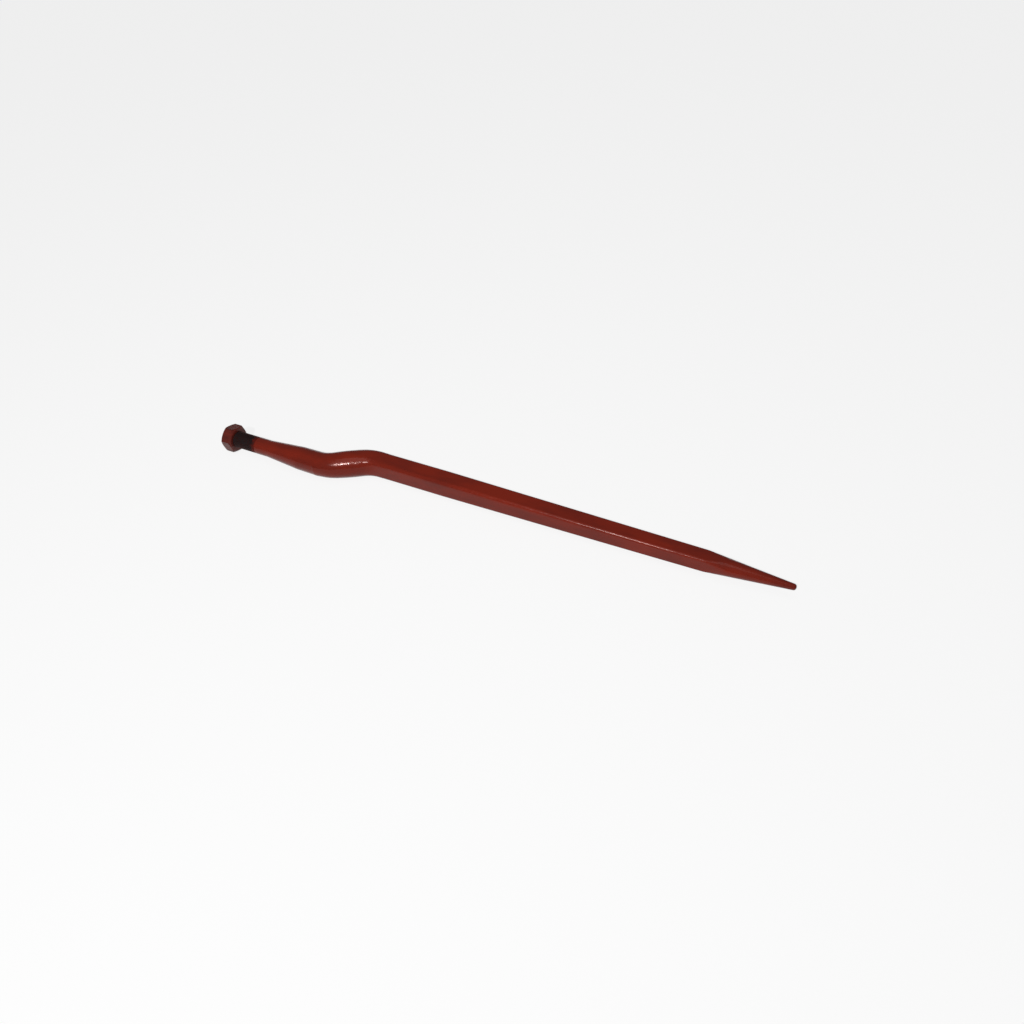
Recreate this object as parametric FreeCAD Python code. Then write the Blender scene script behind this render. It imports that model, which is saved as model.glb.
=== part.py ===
import FreeCAD
import Part

# Cranked bale spear: a forged steel spear whose tapered, threaded shank is pulled into a
# conical bush on a loader headstock by a hexagon nut. Between the round shank and the square
# bar the forging is cranked sideways, so the bar lies beside the line of its bush.
#
# Frame: X runs along the axis of the tapered seat towards the point, Z is up and Y is the
# side the crank steps to. The origin is on that axis, at the large end of the tapered seat.
# The crank lies flat, in the horizontal plane, as it does when the spear is on a floor.

import math
import os

# Driving dimensions, in millimetres and degrees.

# Threaded stud, M28 x 1.5. Stud and nut are both drawn at the small diameter of the thread
THREAD_MAJOR_D = 28.0
THREAD_PITCH = 1.5
STUD_ROOT_D = THREAD_MAJOR_D - 1.2268 * THREAD_PITCH
NUT_BORE_D = THREAD_MAJOR_D - 1.0825 * THREAD_PITCH
STUD_LENGTH = 63.5
STUD_END_CHAMFER = 1.6

# Plain neck between the thread and the taper
NECK_D = 28.4
NECK_LENGTH = 22.0
NECK_EDGE_CHAMFER = 0.4

# Tapered seat
SEAT_D = 38.9
SEAT_LENGTH = 62.0

# Round shank and crank
SHANK_D = 39.8
SHANK_LENGTH = 33.0
CRANK_OFFSET = 36.5
CRANK_ANGLE = 30.0
CRANK_BEND_R = 60.0
CRANK_D = 44.2

# Square bar, parallel behind the crank and then drawn down towards the point
SQUARE_SIDE = 32.3
SQUARE_CORNER_R = 6.0
SQUARING_LENGTH = 24.0
PARALLEL_LENGTH = 98.0
POINT_SIDE = 25.0
POINT_CORNER_R = 3.6

# Round point, into which the four flats of the bar fade
REACH = 786.5
POINT_LENGTH = 125.0
FLATS_FADE_LENGTH = 48.0
TIP_D = 9.0
TIP_EDGE_R = 3.8

# Hexagon nut, run on until the end of the stud stands out of it
STUD_STANDOUT = 3.0
NUT_ACROSS_FLATS = 41.0
NUT_HEIGHT = 18.5
NUT_FACE_SHARE = 0.92
NUT_CHAMFER_ANGLE = 30.0
NUT_COUNTERSINK = 1.2
NUT_TURN = 41.0

# Worked-out places along X
SHOULDER_X = -(SEAT_LENGTH + NECK_LENGTH)
STUD_END_X = SHOULDER_X - STUD_LENGTH
NUT_FACE_X = STUD_END_X + STUD_STANDOUT + NUT_HEIGHT
POINT_START_X = REACH - POINT_LENGTH
FADE_END_X = POINT_START_X + FLATS_FADE_LENGTH

# Sections lofted in each stretch of the crank and in the fade, and the arc of each side and
# each corner where a section is round
SECTIONS_PER_BEND = 4
SECTIONS_IN_FADE = 6
ROUND_SIDE_ARC = 45.0

UP = FreeCAD.Vector(0, 0, 1)
X_AXIS = FreeCAD.Vector(1, 0, 0)
ORIGIN = FreeCAD.Vector(0, 0, 0)


def smooth_step(share):
    """0 to 1 with a level start and end."""
    share = min(1.0, max(0.0, share))
    return share * share * (3.0 - 2.0 * share)


def mix(start, end, share):
    return start + (end - start) * share


def turned(profile):
    """Solid of revolution about the seat axis, from (x, radius) points that start and end on it."""
    points = [FreeCAD.Vector(x, radius, 0) for x, radius in profile]
    wire = Part.makePolygon(points + points[:1])
    return Part.Face(wire).revolve(ORIGIN, X_AXIS, 360)


# --- cross sections ---------------------------------------------------------------------


def half_diagonal(side, corner_r):
    """Centre to rounded corner of a square with rounded corners."""
    return side / math.sqrt(2.0) - corner_r * (math.sqrt(2.0) - 1.0)


def section_wire(centre, heading, to_side, to_corner, side_arc):
    """Closed section at right angles to the path: four sides and four corners, measured from
    the centre as a smith gauges them. A side is an arc of side_arc degrees, or straight where
    that is 0, and each corner is an arc tangent to its two sides."""
    across = FreeCAD.Vector(-math.sin(heading), math.cos(heading), 0)
    tilt = math.radians(side_arc / 2.0)
    bulge = 1.0 - math.cos(tilt) + math.sin(tilt)
    reach_ratio = math.sqrt(2.0)
    if side_arc:
        reach_ratio = math.sqrt(2.0) * math.sin(tilt) / bulge
    corner_r = (to_side * reach_ratio - to_corner) / (reach_ratio - 1.0)
    corner_centre = (to_corner - corner_r) / math.sqrt(2.0)
    far = corner_centre + corner_r * math.cos(tilt)
    near = corner_centre + corner_r * math.sin(tilt)
    nose = to_corner / math.sqrt(2.0)

    def point(sideways, high, quarter):
        turn = math.pi / 2.0 * quarter
        across_part = sideways * math.cos(turn) - high * math.sin(turn)
        up_part = sideways * math.sin(turn) + high * math.cos(turn)
        return centre + across * across_part + UP * up_part

    edges = []
    for quarter in range(4):
        side_start = point(far, -near, quarter)
        side_end = point(far, near, quarter)
        corner_end = point(near, far, quarter)
        if side_arc:
            edges.append(Part.Arc(side_start, point(to_side, 0.0, quarter), side_end).toShape())
        else:
            edges.append(Part.LineSegment(side_start, side_end).toShape())
        edges.append(Part.Arc(side_end, point(nose, nose, quarter), corner_end).toShape())
    return Part.Wire(edges)


# --- shank ------------------------------------------------------------------------------


def shank():
    """Threaded stud, neck, tapered seat and round shank, turned about the seat axis."""
    stud_r = STUD_ROOT_D / 2.0
    neck_r = NECK_D / 2.0
    return turned(
        [
            (STUD_END_X, 0),
            (STUD_END_X, stud_r - STUD_END_CHAMFER),
            (STUD_END_X + STUD_END_CHAMFER, stud_r),
            (SHOULDER_X, stud_r),
            (SHOULDER_X, neck_r - NECK_EDGE_CHAMFER),
            (SHOULDER_X + NECK_EDGE_CHAMFER, neck_r),
            (-SEAT_LENGTH, neck_r),
            (0, SEAT_D / 2.0),
            (SHANK_LENGTH, SHANK_D / 2.0),
            (SHANK_LENGTH, 0),
        ]
    )


# --- crank ------------------------------------------------------------------------------


def crank_stretches():
    """Length and turning sense of each stretch of the crank: bend, straight link, bend back."""
    angle = math.radians(CRANK_ANGLE)
    bend_rise = CRANK_BEND_R * (1.0 - math.cos(angle))
    link = (CRANK_OFFSET - 2.0 * bend_rise) / math.sin(angle)
    bend = CRANK_BEND_R * angle
    return [(bend, 1.0), (link, 0.0), (bend, -1.0), (SQUARING_LENGTH, 0.0)]


def place_on_crank(distance):
    """Centre and heading of the centre line, at a distance along it from the end of the shank."""
    centre = FreeCAD.Vector(SHANK_LENGTH, 0, 0)
    heading = 0.0
    for length, turn in crank_stretches():
        step = min(distance, length)
        change = turn * step / CRANK_BEND_R
        chord = step
        if change:
            chord = 2.0 * CRANK_BEND_R * math.sin(abs(change) / 2.0)
        middle = heading + change / 2.0
        centre += FreeCAD.Vector(math.cos(middle), math.sin(middle), 0) * chord
        heading += change
        distance -= step
    return centre, heading


def crank_section(distance, total):
    """Round and swelling as far as the middle of the link, then squared by the start of the bar."""
    bend, link = [length for length, _ in crank_stretches()][:2]
    middle = bend + link / 2.0
    swell = smooth_step(distance / middle)
    square = smooth_step((distance - middle) / (total - middle))
    radius = mix(SHANK_D, CRANK_D, swell) / 2.0
    to_side = mix(radius, SQUARE_SIDE / 2.0, square)
    to_corner = mix(radius, half_diagonal(SQUARE_SIDE, SQUARE_CORNER_R), square)
    centre, heading = place_on_crank(distance)
    return section_wire(centre, heading, to_side, to_corner, ROUND_SIDE_ARC * (1.0 - square))


def crank():
    """Double bend that steps the bar sideways and takes the section from round to square."""
    stations = []
    start = 0.0
    for length, _ in crank_stretches():
        steps = [start + length * n / SECTIONS_PER_BEND for n in range(SECTIONS_PER_BEND)]
        stations += steps
        start += length
    stations.append(start)
    return Part.makeLoft([crank_section(distance, start) for distance in stations], True, False)


# --- bar and point ----------------------------------------------------------------------


def bar_start():
    """Where the section is first fully square."""
    total = sum(length for length, _ in crank_stretches())
    return place_on_crank(total)[0]


def bar():
    """Square bar: parallel behind the crank, then drawn down evenly to the start of the point."""
    start = bar_start()
    thick = (SQUARE_SIDE, SQUARE_CORNER_R)
    thin = (POINT_SIDE, POINT_CORNER_R)
    places = [(start.x, thick), (start.x + PARALLEL_LENGTH, thick), (POINT_START_X, thin)]
    wires = []
    for x, (side, corner_r) in places:
        centre = FreeCAD.Vector(x, start.y, 0)
        wires.append(section_wire(centre, 0.0, side / 2.0, half_diagonal(side, corner_r), 0.0))
    return Part.makeLoft(wires, True, True)


def point_radius(x):
    """Radius of the point, which runs down from the corners of the bar to the tip."""
    share = (x - POINT_START_X) / POINT_LENGTH
    return mix(half_diagonal(POINT_SIDE, POINT_CORNER_R), TIP_D / 2.0, share)


def flats_fade():
    """First length of the point, where the four flats of the bar run out into the cone."""
    wires = []
    for n in range(SECTIONS_IN_FADE + 1):
        x = mix(POINT_START_X, FADE_END_X, n / SECTIONS_IN_FADE)
        fade = smooth_step(n / SECTIONS_IN_FADE)
        to_side = mix(POINT_SIDE / 2.0, point_radius(FADE_END_X), n / SECTIONS_IN_FADE)
        to_side = mix(to_side, point_radius(x), fade)
        centre = FreeCAD.Vector(x, CRANK_OFFSET, 0)
        wires.append(section_wire(centre, 0.0, to_side, point_radius(x), ROUND_SIDE_ARC * fade))
    return Part.makeLoft(wires, True, False)


def tip():
    """Conical rest of the point, with its end rounded over."""
    cone = turned(
        [
            (FADE_END_X, 0),
            (FADE_END_X, point_radius(FADE_END_X)),
            (REACH, TIP_D / 2.0),
            (REACH, 0),
        ]
    )
    end_edges = [edge for edge in cone.Edges if edge.BoundBox.XMin > REACH - 0.01]
    cone = cone.makeFillet(TIP_EDGE_R, end_edges)
    cone.translate(FreeCAD.Vector(0, CRANK_OFFSET, 0))
    return cone


def spear():
    """The whole forging, in one piece."""
    return shank().fuse([crank(), bar(), flats_fade(), tip()]).removeSplitter()


# --- nut --------------------------------------------------------------------------------


def hexagon_prism(start_x, corner_r):
    corners = []
    for n in range(7):
        turn = math.radians(NUT_TURN + 60 * n)
        corners.append(FreeCAD.Vector(start_x, corner_r * math.cos(turn), corner_r * math.sin(turn)))
    return Part.Face(Part.makePolygon(corners)).extrude(X_AXIS * NUT_HEIGHT)


def nut():
    """Hexagon nut, chamfered at both faces, with its bore countersunk at both ends."""
    corner_r = NUT_ACROSS_FLATS / 2.0 / math.cos(math.radians(30))
    face_r = NUT_ACROSS_FLATS / 2.0 * NUT_FACE_SHARE
    fall = (corner_r - face_r) * math.tan(math.radians(NUT_CHAMFER_ANGLE))
    outer_x = NUT_FACE_X - NUT_HEIGHT
    chamfered = turned(
        [
            (outer_x, 0),
            (outer_x, face_r),
            (outer_x + fall, corner_r),
            (NUT_FACE_X - fall, corner_r),
            (NUT_FACE_X, face_r),
            (NUT_FACE_X, 0),
        ]
    )
    bore_r = NUT_BORE_D / 2.0
    wide_r = bore_r + NUT_COUNTERSINK
    bore = turned(
        [
            (outer_x, 0),
            (outer_x, wide_r),
            (outer_x + NUT_COUNTERSINK, bore_r),
            (NUT_FACE_X - NUT_COUNTERSINK, bore_r),
            (NUT_FACE_X, wide_r),
            (NUT_FACE_X, 0),
        ]
    )
    return hexagon_prism(outer_x, corner_r).common(chamfered).cut(bore)


def main():
    os.makedirs("parts", exist_ok=True)
    for name, make in (("spear", spear), ("nut", nut)):
        shape = make()
        box = shape.BoundBox
        print(name, "solids", len(shape.Solids), "valid", shape.isValid())
        print("  volume %.0f mm3, faces %d" % (shape.Volume, len(shape.Faces)))
        print("  x %.2f..%.2f" % (box.XMin, box.XMax))
        print("  y %.2f..%.2f" % (box.YMin, box.YMax))
        print("  z %.2f..%.2f" % (box.ZMin, box.ZMax))
        shape.exportStep("parts/%s.step" % name)


main()
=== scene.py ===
# %% [markdown]
# # A cranked bale spear
# A bale spear is the steel tine that a loader pushes into a round bale. This one is a single
# forging: threaded stud, tapered seat, a sideways crank, and a square bar drawn down to a round
# point. A hexagon nut waits on its thread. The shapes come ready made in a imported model, so this
# lesson is about what the model lacks: the screw thread, the paint, the light and the camera.

# %% Load the spear and its nut
import bpy
import math
from mathutils import Matrix, Vector


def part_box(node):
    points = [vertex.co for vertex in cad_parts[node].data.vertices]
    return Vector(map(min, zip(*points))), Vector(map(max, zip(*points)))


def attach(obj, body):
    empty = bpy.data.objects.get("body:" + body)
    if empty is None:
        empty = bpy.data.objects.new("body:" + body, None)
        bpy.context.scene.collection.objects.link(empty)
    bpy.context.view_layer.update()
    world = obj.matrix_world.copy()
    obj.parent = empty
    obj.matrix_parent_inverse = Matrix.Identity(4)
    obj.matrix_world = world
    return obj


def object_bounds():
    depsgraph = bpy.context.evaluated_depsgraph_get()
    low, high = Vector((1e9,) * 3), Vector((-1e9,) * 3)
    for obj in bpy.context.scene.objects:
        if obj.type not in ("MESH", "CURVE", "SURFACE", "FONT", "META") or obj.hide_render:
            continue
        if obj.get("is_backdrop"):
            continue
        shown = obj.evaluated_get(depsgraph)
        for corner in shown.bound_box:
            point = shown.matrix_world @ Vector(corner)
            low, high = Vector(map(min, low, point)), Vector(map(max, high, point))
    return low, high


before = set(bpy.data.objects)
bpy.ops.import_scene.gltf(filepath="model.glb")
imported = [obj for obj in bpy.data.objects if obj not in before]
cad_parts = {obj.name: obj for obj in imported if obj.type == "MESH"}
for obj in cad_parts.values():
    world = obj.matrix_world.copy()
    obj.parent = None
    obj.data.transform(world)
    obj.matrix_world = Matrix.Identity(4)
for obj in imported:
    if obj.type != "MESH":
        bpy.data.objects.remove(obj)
cad_box = [list(corner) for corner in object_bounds()]
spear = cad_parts["spear"]
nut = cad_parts["nut"]
scene = bpy.context.scene
print("box of the solids, m:", [[round(n, 4) for n in corner] for corner in cad_box])

# %% [markdown]
# ## The camera
# A long thin thing looks right only from the right distance: too close and its near end swells.
# A camera needs three facts, which are its place, what it aims at and its lens. The place and the
# aim are points in metres, and the lens is in millimetres on a 36 mm wide sensor, so the
# same numbers would work for a real camera over a real floor. Three angles typed by hand would
# aim it too, but an aim point says what they are for.

# %% Place the camera
CAMERA_PLACE = Vector((0.6380, -0.6427, 0.7543))
CAMERA_AIM = Vector((0.3676, 0.0197, 0.0))
CAMERA_ROLL = math.radians(0.18)
CAMERA_LENS = 23.906
SENSOR_WIDTH = 36.0

camera = bpy.data.objects.new("camera", bpy.data.cameras.new("camera"))
scene.collection.objects.link(camera)
camera.data.lens = CAMERA_LENS
camera.data.sensor_width = SENSOR_WIDTH
looking = (CAMERA_AIM - CAMERA_PLACE).to_track_quat("-Z", "Y").to_matrix().to_4x4()
rolled = Matrix.Rotation(CAMERA_ROLL, 4, "Z")
camera.matrix_world = Matrix.Translation(CAMERA_PLACE) @ looking @ rolled
scene.camera = camera
print("camera is %.2f m from the point it aims at" % (CAMERA_AIM - CAMERA_PLACE).length)

# %% [markdown]
# ## Building with nodes
# Every finish below is a small graph of nodes. Writing each node out in full hides the idea, so
# one helper adds a node and sets or links its sockets by name. A value is set, and a socket of
# another node is linked.

# %% A helper that adds a node
def add(tree, kind, settings=None, **sockets):
    """A new node in the tree. Settings are its own choices; sockets are set, or linked to."""
    made = tree.nodes.new("ShaderNode" + kind)
    for name, choice in (settings or {}).items():
        setattr(made, name, choice)
    for name, value in sockets.items():
        key = int(name[1:]) if name[1:].isdigit() else name.replace("_", " ")
        if isinstance(value, bpy.types.NodeSocket):
            tree.links.new(value, made.inputs[key])
        else:
            made.inputs[key].default_value = value
    return made


def larger(tree, first, second):
    """The larger of two values. For two yes-or-no values it means either one."""
    return add(tree, "Math", {"operation": "MAXIMUM"}, _0=first, _1=second).outputs[0]


def grey(value):
    return (value, value, value, 1.0)


print("helper ready: add(tree, kind, settings, Socket_Name=value or socket)")

# %% [markdown]
# ## The floor and the light
# Glossy paint shows its surroundings more than its own colour. A white floor gives the bar's
# near side a pale sheen, and a dim room keeps the upper faces deep red. A ring of lamps could
# be tuned by hand for this, but a floor and a room do most of it by themselves. Two lamps do
# the rest: a small one behind the camera for the crisp glints on bends and corners, and a
# large soft one overhead that keeps shadows faint.
#
# The floor is seen as nearly white by the camera and by reflections, yet a share of it stays a
# plain matte surface, so it still takes the soft shadow of the bar. The room is pale only where
# the camera looks straight at it, so the far edge of the floor has no dark sky behind it. The
# bar is lit by the dim room and mirrors the dim room.

# %% Lay the floor
FLOOR_Z = cad_box[0][2]
FLOOR_HALF = 8.0
WHITE_SHARE = 0.84
FLOOR_GREY = 0.70

floor_corners = [
    (side_x * FLOOR_HALF, side_y * FLOOR_HALF, FLOOR_Z)
    for side_x, side_y in ((-1, -1), (1, -1), (1, 1), (-1, 1))
]
floor_mesh = bpy.data.meshes.new("floor")
floor_mesh.from_pydata(floor_corners, [], [(0, 1, 2, 3)])
floor = bpy.data.objects.new("floor", floor_mesh)
scene.collection.objects.link(floor)
floor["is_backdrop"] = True

floor_material = bpy.data.materials.new("studio floor")
floor_material.use_nodes = True
tree = floor_material.node_tree
tree.nodes.clear()
rays = add(tree, "LightPath").outputs
direct = larger(tree, rays["Is Camera Ray"], rays["Is Glossy Ray"])
clear = larger(tree, direct, rays["Is Transmission Ray"])
seen = add(tree, "Math", {"operation": "MULTIPLY"}, _0=clear, _1=WHITE_SHARE)
matte = add(tree, "BsdfDiffuse", Color=grey(FLOOR_GREY))
white = add(tree, "Emission", Color=grey(1.0), Strength=1.0)
both = add(tree, "MixShader", _0=seen.outputs[0], _1=matte.outputs[0], _2=white.outputs[0])
add(tree, "OutputMaterial", Surface=both.outputs[0])
floor.data.materials.append(floor_material)
print("floor at z = %.4f m" % FLOOR_Z)

# %% Hang the lamps
def lamp(name, place, aim, size, level):
    """A square lamp. Level 1 lights a surface that faces it as brightly as its colour is written."""
    made = bpy.data.objects.new(name, bpy.data.lights.new(name, "AREA"))
    scene.collection.objects.link(made)
    place, aim = Vector(place), Vector(aim)
    made.data.size = size
    made.data.energy = level * (math.pi * (aim - place).length) ** 2
    made.location = place
    made.rotation_mode = "QUATERNION"
    made.rotation_quaternion = (aim - place).to_track_quat("-Z", "Y")
    return made


lamp("main lamp", place=(0.40, -1.40, 1.48), aim=(0.45, 0.02, 0.0), size=0.070, level=0.76)
lamp("lamp overhead", place=(0.55, -0.50, 2.40), aim=(0.40, 0.0, 0.0), size=1.60, level=0.20)

# %% Light the room
ROOM_GLOW = 0.14
BACKDROP_GREY = 0.95

world = bpy.data.worlds.new("studio room")
scene.world = world
world.use_nodes = True
room = world.node_tree
room.nodes.clear()
seen_straight = add(room, "LightPath").outputs["Is Camera Ray"]
dim = add(room, "Background", Color=grey(1.0), Strength=ROOM_GLOW)
pale = add(room, "Background", Color=grey(BACKDROP_GREY), Strength=1.0)
both = add(room, "MixShader", _0=seen_straight, _1=dim.outputs[0], _2=pale.outputs[0])
add(room, "OutputWorld", Surface=both.outputs[0])
scene.view_settings.view_transform = "Standard"
print("the room glows at %.2f, and its backdrop is %.2f" % (ROOM_GLOW, BACKDROP_GREY))

# %% [markdown]
# ## The screw thread
# The stud is M28 x 1.5: a helix that climbs 1.5 mm a turn, with 60 degree flanks. The solid stud
# is a plain cylinder at the bottom of the thread. A displacement map could fake the grooves,
# but it breaks at the outline. Here a ridge is swept along the helix instead, so the outline
# has real teeth. The ridge only exists where it can be seen, outside the nut.

# %% Cut the numbers of the thread
PITCH = 0.0015
CREST_R = 0.0140
DEPTH_PER_PITCH = 0.6134
ROOT_R = CREST_R - DEPTH_PER_PITCH * PITCH
CREST_HALF = PITCH / 16
FLANK_ANGLE = math.radians(30)
FLANK_HALF = (CREST_R - ROOT_R) * math.tan(FLANK_ANGLE) + CREST_HALF
SUNK = 0.0001
FADE_TURNS = 0.6
STEPS_PER_TURN = 40
print("ridge is %.2f mm high and %.2f mm wide at its foot" % ((CREST_R - ROOT_R) * 1e3, FLANK_HALF * 2e3))

# %% Find the stretches that can be seen
STUD_LENGTH = 0.0635
UNDER_THE_NUT = 0.0006
BELOW_THE_SHOULDER = 0.0004
PLAIN_TIP = 0.0012

stud_end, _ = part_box("spear")
nut_low, nut_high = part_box("nut")
shoulder_x = stud_end.x + STUD_LENGTH
inner_run = (nut_high.x - UNDER_THE_NUT, shoulder_x - BELOW_THE_SHOULDER)
outer_run = (stud_end.x + PLAIN_TIP, nut_low.x + UNDER_THE_NUT)
print("thread in sight: %.1f mm before the nut, %.1f mm beyond it" % (
    (shoulder_x - nut_high.x) * 1e3, (nut_low.x - stud_end.x) * 1e3
))

# %% Sweep the ridge
def thread_ridge(start_x, stop_x):
    """Vertices and faces of a ridge wound round the X axis. It rises out of the stud at each end."""
    steps = int((stop_x - start_x) / PITCH * STEPS_PER_TURN)
    foot = ROOT_R - SUNK
    points, faces = [], []
    for n in range(steps + 1):
        turned = n / STEPS_PER_TURN
        still_to_turn = (steps - n) / STEPS_PER_TURN
        rise = min(1.0, turned / FADE_TURNS, still_to_turn / FADE_TURNS)
        crest = foot + (CREST_R - foot) * rise
        middle = start_x + turned * PITCH
        angle = turned * math.tau
        profile = (
            (-FLANK_HALF, foot), (-CREST_HALF, crest),
            (CREST_HALF, crest), (FLANK_HALF, foot),
        )
        for along, out in profile:
            points.append((middle + along, out * math.cos(angle), out * math.sin(angle)))
        if n:
            a, b = 4 * (n - 1), 4 * n
            faces += [(a + k, a + k + 1, b + k + 1, b + k) for k in range(3)]
    return points, faces


points, faces = thread_ridge(*inner_run)
outer_points, outer_faces = thread_ridge(*outer_run)
faces += [tuple(corner + len(points) for corner in face) for face in outer_faces]
points += outer_points
thread_mesh = bpy.data.meshes.new("stud_thread")
thread_mesh.from_pydata(points, [], faces)
thread = bpy.data.objects.new("stud_thread", thread_mesh)
scene.collection.objects.link(thread)
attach(thread, "root")
print("thread:", len(thread_mesh.polygons), "faces")

# %% [markdown]
# ## Shared effects
# Four effects appear in more than one finish, so each is a node group with named sockets. All of
# them read the object's own coordinates, which are metres here, so a size of 0.002 means 2 mm.
# Painted images could carry the same effects, but they blur close up and need the part
# unwrapped. Noise that is worked out from the place needs neither.
# - *sprayed skin*: the fine orange peel and soft lumps of thick paint on a forging.
# - *paint tone*: slow drifts of the red, where the coat is thicker or the light scuffed it.
# - *bare end*: how far the paint reaches along the stud, with a ragged edge.
# - *rubbed edges*: specks along sharp corners, where the coat is thin or knocked off.

# %% A group's shell
def group(name, takes, gives):
    """A node group with float or colour sockets, and the ends to build between."""
    made = bpy.data.node_groups.new(name, "ShaderNodeTree")
    for label, value in takes.items():
        kind = "NodeSocketColor" if isinstance(value, tuple) else "NodeSocketFloat"
        socket = made.interface.new_socket(label, in_out="INPUT", socket_type=kind)
        socket.default_value = value
    for label in gives:
        kind = "NodeSocketColor" if label.endswith("Colour") else "NodeSocketFloat"
        made.interface.new_socket(label, in_out="OUTPUT", socket_type=kind)
    inside = made.nodes.new("NodeGroupInput")
    outside = made.nodes.new("NodeGroupOutput")
    return made, inside.outputs, outside.inputs


def noise(tree, vector, size, detail=2.0, roughness=0.5):
    """Noise whose blobs are about this many metres across: a number, or a socket that gives one."""
    if isinstance(size, bpy.types.NodeSocket):
        scale = add(tree, "Math", {"operation": "DIVIDE"}, _0=1.0, _1=size).outputs[0]
    else:
        scale = 1.0 / size
    made = add(tree, "TexNoise", None, Vector=vector, Scale=scale, Detail=detail, Roughness=roughness)
    return made.outputs["Fac"]


def remap(tree, value, low, high, to_low=0.0, to_high=1.0):
    """Stretches the range from low to high over another range, and stops at its ends."""
    return add(
        tree, "MapRange", {"clamp": True},
        Value=value, From_Min=low, From_Max=high, To_Min=to_low, To_Max=to_high,
    ).outputs[0]


def mix_colours(tree, share, first, second):
    """The first colour where the share is 0, and the second where it is 1."""
    return add(tree, "Mix", {"data_type": "RGBA"}, _0=share, _6=first, _7=second).outputs[2]


def mix_values(tree, share, first, second):
    """The first value where the share is 0, and the second where it is 1."""
    return add(tree, "Mix", {"data_type": "FLOAT"}, _0=share, _2=first, _3=second).outputs[0]


print("group helpers ready")

# %% Sprayed skin
sprayed_skin, takes, gives = group(
    "sprayed skin", {"Peel Size": 0.0016, "Lump Size": 0.012, "Lump Share": 0.6}, ["Height"]
)
where = add(sprayed_skin, "TexCoord").outputs["Object"]
peel = noise(sprayed_skin, where, takes["Peel Size"], 1.0)
lumps = noise(sprayed_skin, where, takes["Lump Size"], 2.0)
height = mix_values(sprayed_skin, takes["Lump Share"], peel, lumps)
sprayed_skin.links.new(height, gives["Height"])
print("group:", sprayed_skin.name)

# %% Paint tone
DRAWN_OUT = (0.35, 1.0, 1.0)
SCUFF_SIZE = 0.004
SCUFF_DULLS = 0.16

paint_tone, takes, gives = group(
    "paint tone",
    {
        "Thick Paint": (0.15, 0.012, 0.006, 1.0),
        "Thin Paint": (0.10, 0.012, 0.008, 1.0),
        "Patch Size": 0.03,
        "Gloss": 0.25,
    },
    ["Colour", "Roughness"],
)
where = add(paint_tone, "TexCoord").outputs["Object"]
along_the_bar = add(paint_tone, "Mapping", None, Vector=where, Scale=DRAWN_OUT).outputs[0]
patches = noise(paint_tone, along_the_bar, takes["Patch Size"], 4.0, 0.6)
patch_share = remap(paint_tone, patches, 0.35, 0.68)
colour = mix_colours(paint_tone, patch_share, takes["Thick Paint"], takes["Thin Paint"])
scuffs = noise(paint_tone, where, SCUFF_SIZE, 5.0, 0.7)
scuff_share = remap(paint_tone, scuffs, 0.45, 0.75, 0.0, SCUFF_DULLS)
rough = add(paint_tone, "Math", {"operation": "ADD"}, _0=takes["Gloss"], _1=scuff_share)
paint_tone.links.new(colour, gives["Colour"])
paint_tone.links.new(rough.outputs[0], gives["Roughness"])
print("group:", paint_tone.name)

# %% Bare end
TONGUE_SIZE = 0.006

bare_end, takes, gives = group("bare end", {"Paint Ends At": -0.1, "Ragged": 0.006}, ["Bare"])
where = add(bare_end, "TexCoord").outputs["Object"]
along = add(bare_end, "SeparateXYZ", None, Vector=where).outputs["X"]
tongues = noise(bare_end, where, TONGUE_SIZE, 3.0, 0.6)
shift = remap(bare_end, tongues, 0.25, 0.75, -1.0, 1.0)
shifted = add(bare_end, "Math", {"operation": "MULTIPLY_ADD"}, _0=shift, _1=takes["Ragged"], _2=along)
past = add(bare_end, "Math", {"operation": "SUBTRACT"}, _0=takes["Paint Ends At"], _1=shifted.outputs[0])
bare = remap(bare_end, past.outputs[0], -0.002, 0.003)
bare_end.links.new(bare, gives["Bare"])
print("group:", bare_end.name)

# %% Rubbed edges
rubbed_edges, takes, gives = group(
    "rubbed edges", {"Starts At": 0.52, "Full At": 0.60, "Speck Size": 0.002}, ["Rubbed"]
)
where = add(rubbed_edges, "TexCoord").outputs["Object"]
sharpness = add(rubbed_edges, "NewGeometry").outputs["Pointiness"]
specks = noise(rubbed_edges, where, takes["Speck Size"], 3.0, 0.7)
speck_share = remap(rubbed_edges, specks, 0.35, 0.60)
edge = remap(rubbed_edges, sharpness, takes["Starts At"], takes["Full At"])
rubbed = add(rubbed_edges, "Math", {"operation": "MULTIPLY"}, _0=edge, _1=speck_share)
rubbed_edges.links.new(rubbed.outputs[0], gives["Rubbed"])
print("group:", rubbed_edges.name)

# %% [markdown]
# ## The red paint
# The spear is dipped or sprayed in a glossy oxide red, laid straight on the forging. One flat
# red would do from far away, but up close it looks like plastic pipe, so the coat drifts between
# a thick and a thin red. It is not a metal, so Metallic stays 0 on it, and the gloss comes from
# a low roughness. Its shine is weaker than that of clean plastic and a little red, so the white
# floor doesn't wash it out.
#
# The skin's height goes through a Bump node, which bends the light on the narrow corners of the
# bar and breaks their glint up, as real orange peel does. Towards the thread the paint stops in
# a ragged edge, and dark steel with a little red dust on it goes on under the nut.

# %% Helpers for a finish
def use(tree, shared, **values):
    """Places a shared group in a material's tree with this material's own values."""
    made = tree.nodes.new("ShaderNodeGroup")
    made.node_tree = shared
    for name, value in values.items():
        made.inputs[name.replace("_", " ")].default_value = value
    return made.outputs


def finish_on(name, piece):
    """A new material on the piece, and its tree, cleared."""
    made = bpy.data.materials.new(name)
    made.use_nodes = True
    made.node_tree.nodes.clear()
    piece.data.materials.clear()
    piece.data.materials.append(made)
    return made.node_tree


print("finish helpers ready")

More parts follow.
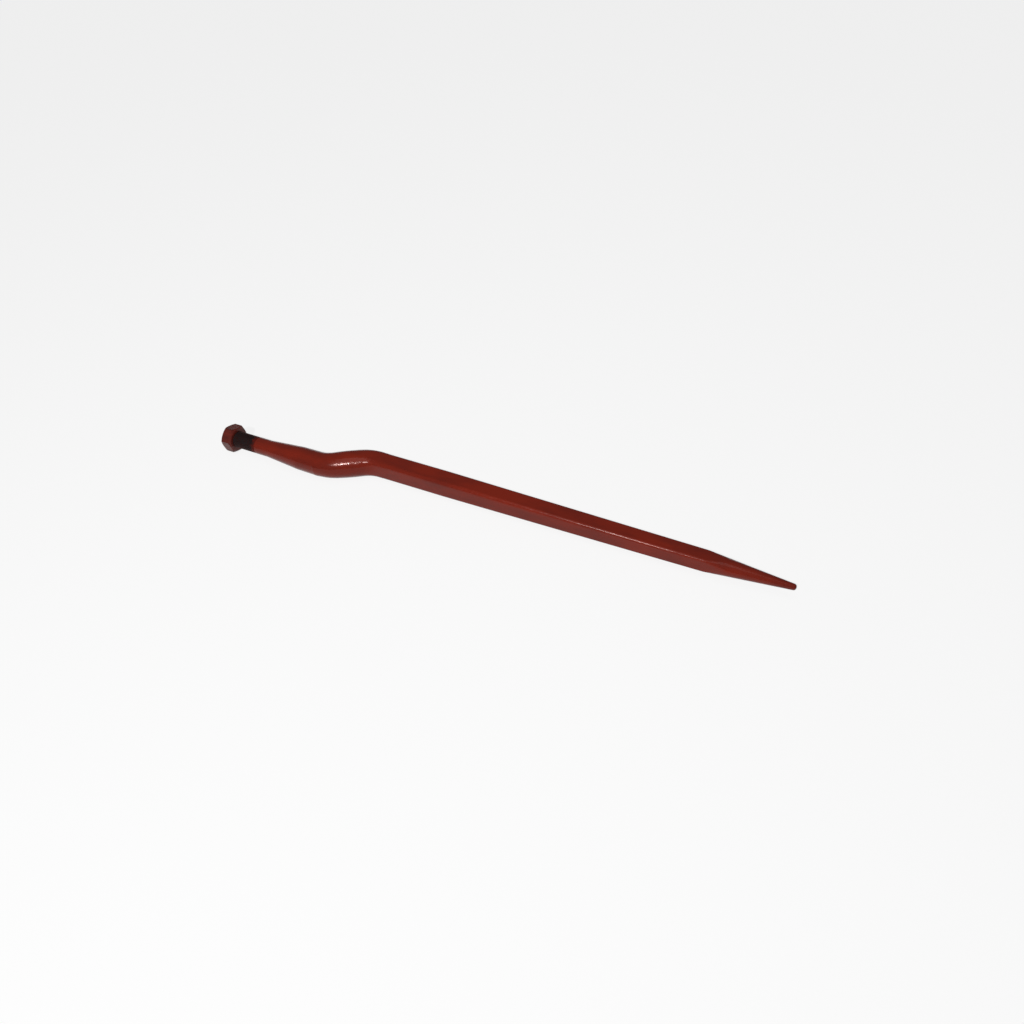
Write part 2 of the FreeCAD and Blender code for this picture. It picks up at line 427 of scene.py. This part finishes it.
# %% Paint over steel
BARE_STEEL = (0.036, 0.026, 0.027, 1.0)
DUSTED_STEEL = (0.050, 0.016, 0.014, 1.0)
RUBBED_PAINT = (0.060, 0.014, 0.011, 1.0)
DUST_SIZE = 0.003
STEEL_ROUGHNESS = 0.46
STEEL_METAL = 0.55
COAT_SHINE = 0.26
COAT_SHINE_TINT = (0.85, 0.60, 0.56, 1.0)


def painted_steel(tree, ends_at, thick, thin, gloss, patch, lump, peel, depth):
    """Paint over steel, with the steel showing past where the paint ends."""
    tone = use(tree, paint_tone, Thick_Paint=thick, Thin_Paint=thin, Gloss=gloss, Patch_Size=patch)
    skin = use(tree, sprayed_skin, Peel_Size=peel, Lump_Size=lump)
    where = add(tree, "TexCoord").outputs["Object"]
    dust = noise(tree, where, DUST_SIZE, 3.0, 0.6)
    dust_share = remap(tree, dust, 0.4, 0.7)
    steel = mix_colours(tree, dust_share, BARE_STEEL, DUSTED_STEEL)
    bare = use(tree, bare_end, Paint_Ends_At=ends_at, Ragged=0.004)["Bare"]
    rubbed = use(tree, rubbed_edges, Starts_At=0.52, Full_At=0.60, Speck_Size=0.002)["Rubbed"]
    coat = mix_colours(tree, rubbed, tone["Colour"], RUBBED_PAINT)
    colour = mix_colours(tree, bare, coat, steel)
    rough = mix_values(tree, bare, tone["Roughness"], STEEL_ROUGHNESS)
    metal = add(tree, "Math", {"operation": "MULTIPLY"}, _0=bare, _1=STEEL_METAL).outputs[0]
    bump = add(tree, "Bump", None, Strength=1.0, Distance=depth, Height=skin["Height"]).outputs[0]
    shader = add(
        tree, "BsdfPrincipled", None,
        Base_Color=colour, Roughness=rough, Metallic=metal, Normal=bump,
        Specular_IOR_Level=COAT_SHINE, Specular_Tint=COAT_SHINE_TINT,
    )
    add(tree, "OutputMaterial", Surface=shader.outputs[0])


print("bare steel is %.3f bright, and rubbed paint %.3f" % (max(BARE_STEEL[:3]), max(RUBBED_PAINT[:3])))

# %% Paint the spear
PAINT_ON_STUD = 0.006
painted_steel(
    finish_on("spear paint", spear), ends_at=shoulder_x - PAINT_ON_STUD,
    thick=(0.182, 0.0165, 0.0075, 1.0), thin=(0.120, 0.0135, 0.0080, 1.0), gloss=0.16,
    patch=0.026, lump=0.014, peel=0.0018, depth=0.0003,
)
print("the paint runs %.0f mm on to the stud" % (PAINT_ON_STUD * 1e3))

# %% Finish the thread
PAINT_ON_CRESTS = 0.005
painted_steel(
    finish_on("thread steel", thread), ends_at=shoulder_x - PAINT_ON_CRESTS,
    thick=(0.120, 0.014, 0.009, 1.0), thin=(0.090, 0.013, 0.010, 1.0), gloss=0.34,
    patch=0.020, lump=0.006, peel=0.0010, depth=0.0001,
)
print("the paint runs %.0f mm on to the crests of the thread" % (PAINT_ON_CRESTS * 1e3))

# %% Paint the nut
PAINTED_ALL_OVER = stud_end.x - 0.050
painted_steel(
    finish_on("nut paint", nut), ends_at=PAINTED_ALL_OVER,
    thick=(0.150, 0.020, 0.0130, 1.0), thin=(0.070, 0.013, 0.0110, 1.0), gloss=0.30,
    patch=0.012, lump=0.007, peel=0.0014, depth=0.0006,
)
print("finishes:", [m.name for m in bpy.data.materials])

# %% [markdown]
# ## Last checks
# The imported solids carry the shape, so the dressed part must fill the same box.

# %% Compare the boxes and finish
dressed_box = [list(corner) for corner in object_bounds()]
growth = [max(abs(a - b) for a, b in zip(x, y)) for x, y in zip(cad_box, dressed_box)]
print("largest change of the box: %.2f mm" % (max(growth) * 1e3))
